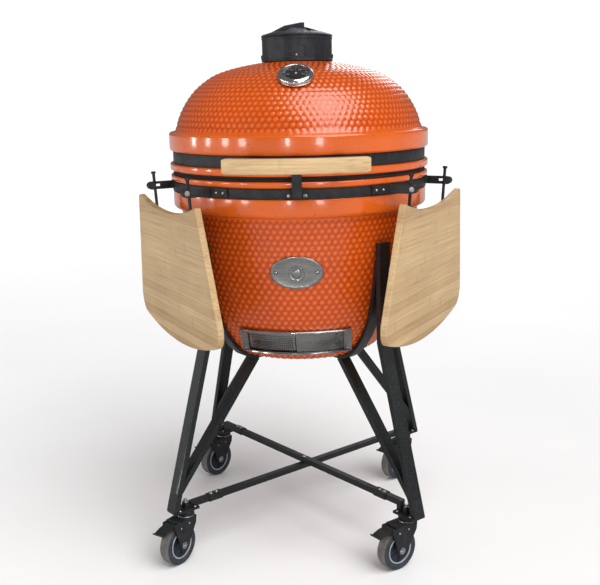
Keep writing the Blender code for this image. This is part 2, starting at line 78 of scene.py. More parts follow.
DIMPLE, ROW, RELIEF = 0.0146, 0.0124, 0.0015  # pitch, row spacing and depth of the glaze's bumps

BAND_Z, BAND_R = (0.8463, 0.8662), (0.2968, 0.3003)
LID_BAND_Z, LID_BAND_R = (0.9098, 0.9337), (0.2943, 0.2976)
PIN_Y, PIN_Z = 0.362, 0.884
VENT_R, VENT_Z, CAP_Z = 0.0815, 1.1338, 1.1890
THERMO_R, THERMO_Z, THERMO_TILT = 0.2105, 1.0958, 58.0
GRIP_R, GRIP_Z, GRIP_HALF_ANGLE = (0.364, 0.386), (0.9045, 0.9360), 23.2
PLATE_AZ, PLATE_Z, PLATE_HALF = -1.0, 0.6836, (0.0585, 0.0365)
DOOR_AZ, DOOR_HALF, DOOR_Z = -3.0, 0.1255, (0.4800, 0.5455)
SHELF_AZ = {"l": -60.2, "r": 62.2}
SHELF_LEAN, SHELF_R, SHELF_Z = 3.8, 0.3355, 0.8575
CART_AZ, STEM_R = -4.4, 0.362
BAR_Z = {"a": 0.1442, "b": 0.1298}
WHEEL_R, TRAIL = 0.048, 0.032
UP = (0, 0, 1)
CASTERS = {"fl": (-45, -33), "fr": (45, -52), "rl": (-135, -41), "rr": (135, -45)}


# ---------------------------------------------------------------- materials

def node(tree, kind, inputs=None, **settings):
    made = tree.nodes.new("ShaderNode" + kind)
    for key, value in settings.items():
        setattr(made, key, value)
    for key, value in (inputs or {}).items():
        if isinstance(value, bpy.types.NodeSocket):
            tree.links.new(value, made.inputs[key])
        else:
            made.inputs[key].default_value = value
    return made


def paint(name, roughness, metallic=0.0, **sockets):
    made = bpy.data.materials.new(name)
    made.use_nodes = True
    shader = made.node_tree.nodes["Principled BSDF"]
    shader.inputs["Roughness"].default_value = roughness
    shader.inputs["Metallic"].default_value = metallic
    for key, value in sockets.items():
        shader.inputs[key.replace("_", " ")].default_value = value
    return made, made.node_tree, shader


def stretched(tree, scale):
    where = node(tree, "TexCoord").outputs["Object"]
    return node(tree, "Mapping", {"Vector": where, "Scale": scale}).outputs["Vector"]


def noise(tree, scale, detail=3.0, stretch=(1, 1, 1), roughness=0.5):
    return node(tree, "TexNoise", {"Vector": stretched(tree, stretch), "Scale": scale, "Detail": detail,
                                   "Roughness": roughness}).outputs["Fac"]


def ramp(tree, value, stops):
    made = node(tree, "ValToRGB", {"Fac": value})
    marks = made.color_ramp.elements
    while len(marks) < len(stops):
        marks.new(0.5)
    for mark, (at, colour) in zip(marks, stops):
        mark.position = at
        mark.color = (*colour, 1) if isinstance(colour, tuple) else (colour, colour, colour, 1)
    return made.outputs["Color"]


def maths(tree, operation, a, b=0.0):
    return node(tree, "Math", {0: a, 1: b}, operation=operation).outputs[0]


def mixed(tree, share, a, b, blend="MIX"):
    made = node(tree, "Mix", data_type="RGBA", blend_type=blend)
    for socket, value in ((made.inputs[0], share), (made.inputs[6], a), (made.inputs[7], b)):
        if isinstance(value, bpy.types.NodeSocket):
            tree.links.new(value, socket)
        else:
            socket.default_value = value if isinstance(value, float) else (*value, 1)
    return made.outputs[2]


def bump(tree, shader, height, distance, strength=1.0, under=None):
    inputs = {"Height": height, "Distance": distance, "Strength": strength}
    if under is not None:
        inputs["Normal"] = under
    made = node(tree, "Bump", inputs).outputs["Normal"]
    tree.links.new(made, shader.inputs["Normal"])
    return made


def coated(made, colour, rough, height, distance, strength):
    """Finishes a material: its colour, its roughness and its bump."""
    material, tree, shader = made
    tree.links.new(colour, shader.inputs["Base Color"])
    tree.links.new(rough, shader.inputs["Roughness"])
    bump(tree, shader, height, distance, strength)
    return material


def ceramic_glaze():
    made = paint("orange_glaze", 0.16, Coat_Weight=0.6, Coat_Roughness=0.05)
    tree = made[1]
    rise = node(tree, "Attribute", attribute_name="rise").outputs["Fac"]
    # Painted shade and highlight: the glaze is darker in the valleys between the bumps and lighter on their
    # tops.
    body = ramp(tree, rise, [(0.0, (0.52, 0.058, 0.003)), (0.45, (0.74, 0.115, 0.008)),
                             (1.0, (0.86, 0.175, 0.018))])
    cloud = ramp(tree, noise(tree, 7.0, 4.0), [(0.3, 0.86), (0.7, 1.0)])
    tint = mixed(tree, 1.0, body, cloud, "MULTIPLY")
    speck = ramp(tree, noise(tree, 240.0, 1.0), [(0.24, (0.30, 0.045, 0.004)), (0.29, (1.0, 1.0, 1.0))])
    rough = ramp(tree, noise(tree, 30.0, 5.0), [(0.3, 0.13), (0.75, 0.24)])
    return coated(made, mixed(tree, 1.0, tint, speck, "MULTIPLY"), rough, noise(tree, 120.0, 2.0), 0.0006, 0.25)


def bamboo():
    """Laminated strips, each its own tone, with fibres along X and a faint joint between strips."""
    made, tree, shader = paint("bamboo", 0.42, Coat_Weight=0.15, Coat_Roughness=0.3)
    where = node(tree, "Attribute", attribute_name="grain").outputs["Vector"]
    split = node(tree, "SeparateXYZ", {"Vector": where})
    across = maths(tree, "MULTIPLY", split.outputs["Z"], 47.0)
    strip = maths(tree, "FLOOR", across)
    tone = node(tree, "TexWhiteNoise", {"W": strip}, noise_dimensions="1D").outputs["Value"]
    thread = node(tree, "Mapping", {"Vector": where, "Scale": (5.0, 90.0, 260.0)}).outputs["Vector"]
    fibre = node(tree, "TexNoise", {"Vector": thread, "Scale": 1.0, "Detail": 6.0,
                                    "Roughness": 0.62}).outputs["Fac"]
    base = ramp(tree, fibre, [(0.22, (0.44, 0.265, 0.115)), (0.45, (0.62, 0.415, 0.205)),
                              (0.62, (0.70, 0.495, 0.265)), (0.85, (0.77, 0.575, 0.335))])
    shade = ramp(tree, tone, [(0.0, (0.78, 0.71, 0.62)), (0.2, (0.92, 0.89, 0.85)), (1.0, (1.0, 1.0, 1.0))])
    tinted = mixed(tree, 1.0, base, shade, "MULTIPLY")
    along = maths(tree, "MULTIPLY", split.outputs["X"], 3.6)
    joint = maths(tree, "FRACT", maths(tree, "ADD", along, maths(tree, "MULTIPLY", tone, 9.0)))
    knot = ramp(tree, joint, [(0.0, 0.88), (0.02, 0.95), (0.05, 1.0), (0.98, 1.0), (1.0, 0.88)])
    marked = mixed(tree, 1.0, tinted, knot, "MULTIPLY")
    seam = ramp(tree, maths(tree, "FRACT", across), [(0.0, 0.70), (0.03, 1.0), (0.97, 1.0), (1.0, 0.70)])
    patch = ramp(tree, noise(tree, 9.0, 3.0), [(0.3, 0.90), (0.7, 1.02)])
    lined = mixed(tree, 0.6, marked, seam, "MULTIPLY")
    tree.links.new(mixed(tree, 1.0, lined, patch, "MULTIPLY"), shader.inputs["Base Color"])
    tree.links.new(ramp(tree, fibre, [(0.2, 0.55), (0.8, 0.36)]), shader.inputs["Roughness"])
    first = node(tree, "Bump", {"Height": fibre, "Distance": 0.0004, "Strength": 0.5}).outputs["Normal"]
    bump(tree, shader, seam, 0.0004, 0.5, first)
    return made


def hammered():
    made = paint("hammered_frame_paint", 0.36, 0.2, Coat_Weight=0.35, Coat_Roughness=0.12)
    tree = made[1]
    where = stretched(tree, (1, 1, 1))
    cells = node(tree, "TexVoronoi", {"Vector": where, "Scale": 260.0}, feature="SMOOTH_F1")
    tone = ramp(tree, noise(tree, 420.0, 2.0), [(0.42, (0.0075, 0.0085, 0.0090)), (0.62, (0.020, 0.024, 0.026)),
                                                (0.80, (0.075, 0.088, 0.098))])
    rough = ramp(tree, noise(tree, 40.0, 4.0), [(0.3, 0.30), (0.7, 0.48)])
    return coated(made, tone, rough, cells.outputs["Distance"], 0.0007, 0.7)


def powder(name, dark, light, rough=(0.42, 0.56), grain=700.0, depth=0.35):
    made = paint(name, 0.5, 0.1)
    tree = made[1]
    tone = ramp(tree, noise(tree, 60.0, 5.0), [(0.3, dark), (0.72, light)])
    matt = ramp(tree, noise(tree, 22.0, 4.0), [(0.3, rough[0]), (0.7, rough[1])])
    return coated(made, tone, matt, noise(tree, grain, 2.0), 0.0004, depth)


def cast_iron():
    made = paint("cast_iron", 0.42, 0.35, Coat_Weight=0.15, Coat_Roughness=0.3)
    tree = made[1]
    tone = ramp(tree, noise(tree, 35.0, 6.0), [(0.3, (0.013, 0.015, 0.020)), (0.75, (0.034, 0.039, 0.050))])
    rough = ramp(tree, noise(tree, 90.0, 4.0), [(0.3, 0.36), (0.75, 0.55)])
    return coated(made, tone, rough, noise(tree, 330.0, 4.0), 0.0006, 0.5)


def metal(name, dark, light, rough, stretch=(1, 1, 1), scale=40.0, depth=0.15):
    made = paint(name, rough[0], 1.0)
    tree = made[1]
    lines = noise(tree, scale, 4.0, stretch, 0.6)
    cloud = noise(tree, 14.0, 3.0)
    tone = ramp(tree, lines, [(0.25, dark), (0.75, light)])
    worn = mixed(tree, 1.0, tone, ramp(tree, cloud, [(0.3, 0.88), (0.7, 1.0)]), "MULTIPLY")
    wear = maths(tree, "ADD", maths(tree, "MULTIPLY", lines, 0.6), maths(tree, "MULTIPLY", cloud, 0.4))
    return coated(made, worn, ramp(tree, wear, [(0.3, rough[0]), (0.7, rough[1])]), lines, 0.0002, depth)


def rough_stone(name, dark, light, scale, depth, rough):
    made = paint(name, rough)
    tree = made[1]
    tone = ramp(tree, noise(tree, scale, 6.0), [(0.3, dark), (0.72, light)])
    matt = ramp(tree, noise(tree, scale * 2, 3.0), [(0.3, rough - 0.12), (0.7, rough)])
    return coated(made, tone, matt, noise(tree, scale * 5, 4.0), 0.0008, depth)


def tyre_rubber():
    """Taupe on the tread and near black on the sidewalls. The wheel's axle is Z."""
    made = paint("tyre_rubber", 0.8)
    tree = made[1]
    axle = node(tree, "SeparateXYZ", {"Vector": node(tree, "TexCoord").outputs["Object"]}).outputs["Z"]
    wall = node(tree, "MapRange", {"Value": maths(tree, "ABSOLUTE", axle), "From Min": 0.0110,
                                   "From Max": 0.0124}).outputs["Result"]
    scuff = noise(tree, 55.0, 4.0)
    tread = ramp(tree, scuff, [(0.3, (0.105, 0.098, 0.092)), (0.7, (0.190, 0.180, 0.168))])
    side = ramp(tree, scuff, [(0.3, (0.020, 0.025, 0.034)), (0.7, (0.042, 0.050, 0.062))])
    rough = ramp(tree, scuff, [(0.3, 0.62), (0.7, 0.88)])
    return coated(made, mixed(tree, wall, tread, side), rough, noise(tree, 220.0, 3.0), 0.0003, 0.4)


def pane():
    made, tree, shader = paint("dial_glass", 0.03, Transmission_Weight=1.0, IOR=1.45)
    smear = noise(tree, 60.0, 3.0)
    tree.links.new(ramp(tree, smear, [(0.4, (0.93, 0.95, 0.95)), (0.7, (1.0, 1.0, 1.0))]),
                   shader.inputs["Base Color"])
    tree.links.new(ramp(tree, smear, [(0.4, 0.02), (0.75, 0.07)]), shader.inputs["Roughness"])
    return made


GLAZE = ceramic_glaze()
BAMBOO = bamboo()
FRAME = hammered()
COAT = powder("black_powder_coat", (0.010, 0.011, 0.014), (0.026, 0.028, 0.033))
PLASTIC = powder("pedal_plastic", (0.012, 0.013, 0.015), (0.022, 0.023, 0.026), (0.36, 0.48), 900.0, 0.15)
HUB = powder("hub_plastic", (0.010, 0.015, 0.027), (0.022, 0.031, 0.050), (0.28, 0.42), 500.0, 0.1)
RING = powder("hub_ring_plastic", (0.30, 0.33, 0.36), (0.42, 0.45, 0.48), (0.35, 0.5), 500.0, 0.1)
IRON = cast_iron()
STEEL = metal("brushed_steel", (0.36, 0.36, 0.35), (0.60, 0.60, 0.59), (0.20, 0.34), (3, 3, 90), 6.0)
ZINC = metal("zinc_plate", (0.50, 0.51, 0.52), (0.72, 0.72, 0.72), (0.22, 0.38), (1, 1, 1), 160.0, 0.1)
CHROME = metal("polished_bezel", (0.70, 0.70, 0.71), (0.84, 0.84, 0.85), (0.07, 0.16), (1, 1, 1), 60.0, 0.04)
RUBBER = tyre_rubber()
CLAY = rough_stone("fire_clay", (0.42, 0.33, 0.25), (0.62, 0.52, 0.41), 30.0, 0.5, 0.95)
FELT = rough_stone("gasket_felt", (0.010, 0.009, 0.009), (0.034, 0.031, 0.029), 260.0, 0.8, 0.98)
# Dark dial paint, also used for the thin dark rings on the name plate that are painted shadow in gaps.
DIAL_AND_GAP_SHADE = powder("dial_face_and_gap_shade", (0.012, 0.012, 0.014), (0.022, 0.022, 0.025), (0.4, 0.5), 400.0, 0.1)
MARK = powder("dial_mark", (0.62, 0.62, 0.60), (0.78, 0.78, 0.76), (0.4, 0.5), 400.0, 0.05)
RED = powder("pointer_red", (0.46, 0.022, 0.014), (0.60, 0.035, 0.020), (0.3, 0.4), 400.0, 0.05)
GLASS = pane()


# ---------------------------------------------------------------- shapes

def place(radius, azimuth, z=0.0):
    angle = math.radians(azimuth)
    return Vector((radius * math.sin(angle), -radius * math.cos(angle), z))


def about(azimuth):
    return Matrix.Rotation(math.radians(azimuth), 4, "Z")


def facing(at, axis):
    """A frame at a point whose +Z runs along an axis."""
    return Matrix.Translation(at) @ Vector(axis).to_track_quat("Z", "Y").to_matrix().to_4x4()


def eased(path, radius, steps=4, closed=False):
    """A polyline with its corners rounded."""
    points = [Vector(p) for p in path]
    out = []
    count = len(points)
    for i, here in enumerate(points):
        if not closed and i in (0, count - 1):
            out.append(here)
            continue
        before, after = points[i - 1], points[(i + 1) % count]
        reach = min(radius, (before - here).length * 0.45, (after - here).length * 0.45)
        start = here + (before - here).normalized() * reach
        end = here + (after - here).normalized() * reach
        for k in range(steps + 1):
            t = k / steps
            out.append(start * (1 - t) ** 2 + here * 2 * t * (1 - t) + end * t * t)
    return [tuple(p) for p in out]


def spline(path, steps=6):
    """A smooth curve through the points."""
    points = [Vector(p) for p in path]
    points = [points[0] * 2 - points[1]] + points + [points[-1] * 2 - points[-2]]
    out = []
    for a, b, c, d in zip(points, points[1:], points[2:], points[3:]):
        for k in range(steps):
            t = k / steps
            out.append(((b * 2) + (c - a) * t + (a * 2 - b * 5 + c * 4 - d) * t * t
                        + (b * 3 - a - c * 3 + d) * t ** 3) * 0.5)
    return [tuple(p) for p in out] + [tuple(points[-2])]


def circle(steps):
    """Points round the unit circle."""
    return [(math.cos(2 * math.pi * i / steps), math.sin(2 * math.pi * i / steps)) for i in range(steps)]


def grid(rows, around=True, along=False, caps=False):
    """Quads between rows of points."""
    count = len(rows[0])
    faces = []
    for j in range(len(rows) if along else len(rows) - 1):
        low, high = j * count, (j + 1) % len(rows) * count
        for i in range(count if around else count - 1):
            k = (i + 1) % count
            faces.append((low + i, low + k, high + k, high + i))
    if caps:
        faces.append(tuple(reversed(range(count))))
        faces.append(tuple((len(rows) - 1) * count + i for i in range(count)))
    return [p for row in rows for p in row], faces


def turned(profile, steps=48, pose=Matrix(), closed=False):
    """A (radius, height) profile swept about an axis."""
    rows = [[pose @ Vector((r * x, r * y, z)) for x, y in circle(steps)] for r, z in profile]
    return grid(rows, True, closed)


def ring(inner, outer, low, high, soft, steps=160, pose=Matrix()):
    loop = eased([(inner, low), (outer, low), (outer, high), (inner, high)], soft, 3, True)
    return turned(loop, steps, pose, True)


def pipe(path, radius, sides=10):
    """A round bar along a path, with closed ends."""
    points = [Vector(p) for p in path]
    rows = []
    side = None
    for i, here in enumerate(points):
        ahead = (points[min(i + 1, len(points) - 1)] - points[max(i - 1, 0)]).normalized()
        side = side or ahead.orthogonal()
        side = (side - ahead * side.dot(ahead)).normalized()
        other = ahead.cross(side)
        rows.append([here + (side * x + other * y) * radius for x, y in circle(sides)])
    return grid(rows, caps=True)


def slab(low, high, pose=Matrix()):
    (a, b, c), (d, e, f) = low, high
    points = [pose @ Vector(p) for p in ((a, b, c), (d, b, c), (d, e, c), (a, e, c),
                                         (a, b, f), (d, b, f), (d, e, f), (a, e, f))]
    return points, [(3, 2, 1, 0), (4, 5, 6, 7), (0, 1, 5, 4), (1, 2, 6, 5), (2, 3, 7, 6), (3, 0, 4, 7)]


def hex_bolt(at, axis, radius, height=0.0038):
    """A hexagon head on a washer."""
    pose = facing(at, axis)
    rim = radius * 1.35
    washer = turned(eased([(0, 0), (rim, 0), (rim, 0.0011), (0, 0.0011)], 0.0003, 2), 24, pose)
    head = turned([(radius, 0.0009), (radius, height - 0.0006), (radius * 0.86, height), (0, height)], 6, pose)
    end = [(radius * 0.52, height), (radius * 0.52, height + 0.0012), (0, height + 0.0014)]
    return [washer, head, turned(eased(end, 0.0004, 2), 16, pose)]


def dome_bolt(at, axis, radius, height, socket=True):
    """A button head, with a socket where there is room."""
    pose = facing(at, axis)
    crown = [(radius, 0), (radius * 0.97, height * 0.35), (radius * 0.75, height * 0.8)]
    crown += [(radius * 0.45, height), (radius * 0.42, height * 0.45), (0, height * 0.4)] if socket else \
        [(radius * 0.4, height * 0.97), (0, height)]
    return [turned(crown, 20, pose)]


def linked(name, data):
    made = bpy.data.objects.new(name, data)
    bpy.context.scene.collection.objects.link(made)
    return made


def cleaned(mesh, weld=True, flatten=False):
    """Welds doubled points, joins flat faces when asked to, and turns every face outwards."""
    bm = bmesh.new()
    bm.from_mesh(mesh)
    if weld:
        bmesh.ops.remove_doubles(bm, verts=bm.verts, dist=2e-6)
    if flatten:
        bmesh.ops.dissolve_limit(bm, angle_limit=math.radians(1.0), verts=bm.verts, edges=bm.edges)
    bmesh.ops.recalc_face_normals(bm, faces=bm.faces)
    bm.to_mesh(mesh)
    bm.free()


def painted(shapes, colour):
    return [(shape, colour) for shape in shapes]


def make(name, parts, body, stands_for=(), pose=None, sharp=34.0, bevel=0.0, weld=True, grain=False):
    """Joins (shape, paint) pairs into one piece that rides on a body. With grain, the pose goes into the
    mesh, and the piece's own axes are kept for the paint to follow."""
    paints, points, faces, slots = [], [], [], []
    for (some_points, some_faces), colour in parts:
        if colour not in paints:
            paints.append(colour)
        start = len(points)
        points += [tuple(p) for p in some_points]
        faces += [[start + i for i in face] for face in some_faces]
        slots += [paints.index(colour)] * len(some_faces)
    mesh = bpy.data.meshes.new(name)
    mesh.from_pydata(points, [], faces)
    mesh.polygons.foreach_set("material_index", slots)
    if grain:
        local = mesh.attributes.new("grain", "FLOAT_VECTOR", "POINT")
        local.data.foreach_set("vector", [value for point in points for value in point])
        mesh.transform(pose or Matrix())
        pose = None
    cleaned(mesh, weld)
    for colour in paints:
        mesh.materials.append(colour)
    piece = linked(name, mesh)
    if pose is not None:
        piece.matrix_world = pose
    return settle(piece, body, stands_for, sharp, bevel)


def settle(piece, body, stands_for, sharp, bevel):
    piece.data.polygons.foreach_set("use_smooth", [True] * len(piece.data.polygons))
    piece.data.set_sharp_from_angle(angle=math.radians(sharp))
    if bevel:
        step = piece.modifiers.new("soft_edges", "BEVEL")
        step.width = bevel
        step.segments = 3
        step.limit_method = "ANGLE"
        step.angle_limit = math.radians(sharp)
        step.harden_normals = True
    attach(piece, body)
    if stands_for:
        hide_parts(*stands_for)
    return piece


def softened(name, colour, bevel, sharp=34.0):
    """The node's own shape with its edges rounded."""
    source = frame["nodes"][name]
    mesh = source.data.copy()
    cleaned(mesh, flatten=True)
    mesh.materials.clear()
    mesh.materials.append(colour)
    piece = linked(name + "_finish", mesh)
    return settle(piece, source["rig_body"], (name,), sharp, bevel)


# ---------------------------------------------------------------- ceramic

def even(path, spacing):
    """The path cut into equal steps, with each point's distance along it."""
    points = [Vector(p) for p in path]
    lengths = [0.0]
    for a, b in zip(points, points[1:]):
        lengths.append(lengths[-1] + (b - a).length)
    count = max(2, round(lengths[-1] / spacing))
    out = []
    at = 0
    for k in range(count + 1):
        want = lengths[-1] * k / count
        while at < len(points) - 2 and lengths[at + 1] < want:
            at += 1
        t = (want - lengths[at]) / (lengths[at + 1] - lengths[at])
        out.append((points[at] + (points[at + 1] - points[at]) * t, want))
    return out


def bump_count(radii, row):
    """Bumps round one row: the count only changes where they would get too close or too far apart."""
    count = round(2 * math.pi * radii[0] / DIMPLE)
    for r in radii[:row + 1]:
        if not DIMPLE * 0.84 <= 2 * math.pi * r / count <= DIMPLE * 1.2:
            count = round(2 * math.pi * r / DIMPLE)
    return count


def dimpled(path):
    """Rows of points along a side, raised in staggered round bumps, and each point's share of the rise."""
    samples = even(path, 0.0030)
    length = samples[-1][1]
    rows_of_bumps = int(length / ROW)
    radii = []
    for row in range(rows_of_bumps + 1):
        want = (row + 0.5) * ROW
        radii.append(min(samples, key=lambda item: abs(item[1] - want))[0].x)
    counts = [bump_count(radii, row) for row in range(len(radii))]
    rows, rises = [], []
    for index, (here, along) in enumerate(samples):
        before = samples[max(index - 1, 0)][0]
        after = samples[min(index + 1, len(samples) - 1)][0]
        slope = (after - before).normalized()
        out = Vector((slope.y, -slope.x))
        fade = min(1.0, along / 0.006, (length - along) / 0.006)
        row, rise = [], []
        for i in range(COLUMNS):
            turn = i / COLUMNS
            best = 0.0
            first = int(along / ROW - 0.5)
            for k in (first, first + 1):
                if not 0 <= k < len(counts):
                    continue
                shift = 0.5 * (k % 2)
                phase = turn * counts[k] - shift
                across = (phase - round(phase)) / counts[k] * 2 * math.pi * here.x
                up = along - (k + 0.5) * ROW
                apart = math.sqrt(across * across + up * up) / (DIMPLE * 0.5)
                if apart < 1.0:
                    best = max(best, 0.5 + 0.5 * math.cos(math.pi * apart))
            lift = (best * 1.15 - 1.0) * RELIEF * fade
            point = here + out * lift
            angle = 2 * math.pi * turn
            row.append((point.x * math.sin(angle), -point.x * math.cos(angle), point.y))
            rise.append(best * fade + 0.55 * (1 - fade))
        rows.append(row)
        rises.append(rise)
    return rows, rises


def plain(path):
    rows = [[(r * y, -r * x, z) for x, y in circle(COLUMNS)] for r, z in path]
    return rows, [[0.55] * COLUMNS for _ in path]


def shell(name, body, sections, window=None):
    """A glazed shell from its sections in order, with the rise kept as an attribute from which the glaze paints
    shade into the valleys.
    """
    rows, rises = [], []
    for some_rows, some_rises in sections:
        rows += some_rows
        rises += some_rises
    points, faces = grid(rows, True, True)
    if window:
        points, faces = window(rows, points, faces)
    piece = make(name, [((points, faces), GLAZE)], body, (name.replace("_glazed", ""),), weld=False)
    rise = piece.data.attributes.new("rise", "FLOAT", "POINT")
    rise.data.foreach_set("value", [value for row in rises for value in row])
    return piece


def cut_window(rows, points, faces):
    """Opens the draft window through the wall, behind the door, and lines its four sides."""
    left = round((DOOR_AZ - 24.0) / 360 * COLUMNS) % COLUMNS
    wide = round(48.0 / 360 * COLUMNS)
    columns = [(left + k) % COLUMNS for k in range(wide + 1)]
    opening = [j for j, row in enumerate(rows) if 0.4885 < row[0][2] < 0.5345]
    outer_side = [j for j in opening if j < len(rows) // 2]
    inner_side = [j for j in opening if j > len(rows) // 2]
    gone = {j * COLUMNS + i for j in outer_side[:-1] + inner_side[:-1] for i in columns[:-1]}
    faces = [face for number, face in enumerate(faces) if number not in gone]
    top, bottom = outer_side[-1], outer_side[0]
    inner_top, inner_bottom = inner_side[0], inner_side[-1]
    for a, b in zip(columns, columns[1:]):
        faces.append((top * COLUMNS + a, top * COLUMNS + b, inner_top * COLUMNS + b, inner_top * COLUMNS + a))
        faces.append((bottom * COLUMNS + b, bottom * COLUMNS + a, inner_bottom * COLUMNS + a,
                      inner_bottom * COLUMNS + b))
    for column in (columns[0], columns[-1]):
        faces.append(tuple(j * COLUMNS + column for j in outer_side + inner_side))
    return points, faces


def ceramic():
    side = spline(BASE_SIDE, 5)
    rim = eased([BASE_SIDE[-1]] + BASE_RIM + [(0.285, 0.8815)], 0.0016, 4)[1:]
    inside = spline(BASE_INSIDE, 8)
    shell("base_shell_glazed", "grill",
          [plain([(0.002, 0.4555), (0.07, 0.4555)]), dimpled(side), plain(rim), plain(inside),
           plain([(0.07, 0.4835), (0.002, 0.4835)])], cut_window)
    side = spline(DOME_SIDE, 6)
    rim = eased([(0.285, 0.8925)] + DOME_RIM + [DOME_SIDE[0]], 0.0018, 4)[:-1]
    collar = eased([DOME_SIDE[-1], DOME_INSIDE[0], DOME_INSIDE[1]], 0.002, 3)[1:]
    inside = spline(DOME_INSIDE[1:], 3)
    shell("dome_shell_glazed", "lid", [plain(rim), dimpled(side), plain(collar), plain(inside)])
    for name, body, low in (("base_gasket", "grill", 0.8818), ("dome_gasket", "lid", 0.8872)):
        make(name + "_felt", [(ring(0.271, 0.298, low, low + 0.0050, 0.0018), FELT)], body, (name,))


def fire_parts():
    softened("fire_box", CLAY, 0.003)
    softened("fire_ring", CLAY, 0.003)
    softened("charcoal_grate", IRON, 0.0012)
    rim = [(0.240 + 0.004 * x, 0.8493 + 0.004 * y) for x, y in circle(12)]
    parts = [(turned(rim, 96, closed=True), STEEL)]
    for i in range(-12, 13):
        x = 0.0182 * i
        half = math.sqrt(0.2395 ** 2 - x * x)
        parts.append((pipe([(x, -half, 0.8505), (x, half, 0.8505)], 0.0022, 8), STEEL))
    for y in (-0.11, 0.11):
        half = math.sqrt(0.2395 ** 2 - y * y)
        parts.append((pipe([(-half, y, 0.8470), (half, y, 0.8470)], 0.0026, 8), STEEL))
    make("cooking_grid_rods", parts, "grill", ("cooking_grid",))


# ---------------------------------------------------------------- lid fittings

def vent():
    softened("vent_collar", IRON, 0.0007)
    softened("vent_cap", IRON, 0.0011, 28)
    parts = [(ring(VENT_R - 0.001, VENT_R + 0.0016, VENT_Z, VENT_Z + 0.0050, 0.0010, 96), IRON),
             (ring(VENT_R - 0.001, VENT_R + 0.0010, CAP_Z - 0.0060, CAP_Z - 0.0012, 0.0008, 96), IRON)]
    low, high, bottom, top, lift = -0.0250, 0.0235, 1.1395, 1.1725, 0.0014
    outline = eased([(low, bottom), (high, bottom), (high, top), (low, top)], 0.004, 3, True)
    inner = [(x * 0.86 + (low + high) / 2 * 0.14, z * 0.84 + (bottom + top) / 2 * 0.16) for x, z in outline]
    rows = [[on_collar(x, z, out) for x, z in loop]
            for loop, out in ((outline, -0.0006), (outline, lift), (inner, lift), (inner, lift * 0.15))]
    points, faces = grid(rows)
    faces.append(tuple(3 * len(outline) + i for i in range(len(outline))))
    parts.append(((points, faces), IRON))
    parts += painted(dome_bolt(on_collar(0.0, 1.1470, 0.0002), (0, -1, 0), 0.0024, 0.0014, False), ZINC)
    for azimuth in (-90, 90, 180):
        pose = about(azimuth)
        parts.append((slab((-0.004, -VENT_R - 0.0026, 1.1395), (0.004, -VENT_R + 0.001, 1.1490), pose), IRON))
    make("vent_collar_trim", parts, "lid", bevel=0.0004)


def on_collar(x, z, lift):
    radius = VENT_R + lift
    return Vector((x, -math.sqrt(radius * radius - x * x), z))


def thermometer():
    tilt = Matrix.Rotation(math.radians(90 - THERMO_TILT), 4, "X")
    pose = Matrix.Translation((0, -THERMO_R, THERMO_Z)) @ tilt
    profile = [(0.0, -0.090), (0.0026, -0.089), (0.0034, -0.086), (0.0034, 0.0002), (0.0290, 0.0004),
               (0.0350, 0.0012), (0.0380, 0.0036), (0.0386, 0.0062), (0.0374, 0.0096), (0.0345, 0.0122),
               (0.0318, 0.0134), (0.0300, 0.0134), (0.0291, 0.0126), (0.0287, 0.0106), (0.0283, 0.0076),
               (0.0, 0.0076)]
    case = turned(profile[:5] + spline(profile[4:14], 4)[1:] + profile[14:], 72)
    lip = ring(0.0366, 0.0392, 0.0004, 0.0030, 0.0008, 72)
    make("thermometer_case_turned", [(case, CHROME), (lip, CHROME)], "lid", ("thermometer_case",), pose)
    parts = [(ring(0.0020, 0.0276, 0.0077, 0.0085, 0.0002, 64), DIAL_AND_GAP_SHADE)]
    for i in range(46):
        angle = math.radians(-225 + 270 * i / 45)
        long = i % 5 == 0
        inner, half = (0.0212, 0.00042) if long else (0.0234, 0.00024)
        turn = Matrix.Rotation(-angle - math.pi, 4, "Z")
        parts.append((slab((inner, -half, 0.0084), (0.0256, half, 0.0088), turn), MARK))
    for low, high, colour in ((8, 20, MARK), (22, 34, RED)):
        rows = []
        for radius, z in ((0.0262, 0.0084), (0.0262, 0.0089), (0.0272, 0.0089), (0.0272, 0.0084)):
            rows.append([(radius * math.cos(math.radians(225 - 270 * i / 45)),
                          radius * math.sin(math.radians(225 - 270 * i / 45)), z) for i in range(low, high)])
        parts.append((grid(rows, around=False, along=True), colour))
    make("thermometer_dial_face", parts, "lid", ("thermometer_dial",), pose)
    numbers(pose)
    hand = [(turned([(0, 0.0086), (0.0018, 0.0086), (0.0018, 0.0095), (0.0034, 0.0096), (0.0034, 0.0108),
                     (0.0026, 0.0113), (0, 0.0114)], 32), CHROME)]
    outline = [(-0.0014, -0.0070), (0.0014, -0.0070), (0.0009, 0.0040), (0.0002, 0.0212), (-0.0002, 0.0212),
               (-0.0009, 0.0040)]
    rows = [[(x, y, z) for x, y in outline] for z in (0.0098, 0.0105)]
    hand.append((grid(rows, caps=True), RED))
    make("thermometer_pointer", hand, "pointer", ("thermometer_needle",), pose)
    glass = turned([(0.0289, 0.0114), (0.0289, 0.0124), (0.0220, 0.0133), (0.0120, 0.0138), (0, 0.0140),
                    (0, 0.0131), (0.0120, 0.0129), (0.0220, 0.0124)], 64, closed=True)
    make("thermometer_glass", [(glass, GLASS)], "lid", pose=pose)


def numbers(pose):
    for count, text in enumerate(("50", "150", "250", "350")):
        angle = math.radians(225 - 270 * (count * 2 + 1) / 8)
        curve = bpy.data.curves.new(f"dial_number_{text}", "FONT")
        curve.body = text
        curve.size = 0.0052
        curve.extrude = 0.0002
        curve.align_x = "CENTER"
        curve.align_y = "CENTER"
        curve.materials.append(MARK)
        piece = linked(f"dial_number_{text}", curve)
        at = Vector((0.0168 * math.cos(angle), 0.0168 * math.sin(angle), 0.0088))
        piece.matrix_world = pose @ Matrix.Translation(at)
        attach(piece, "lid")


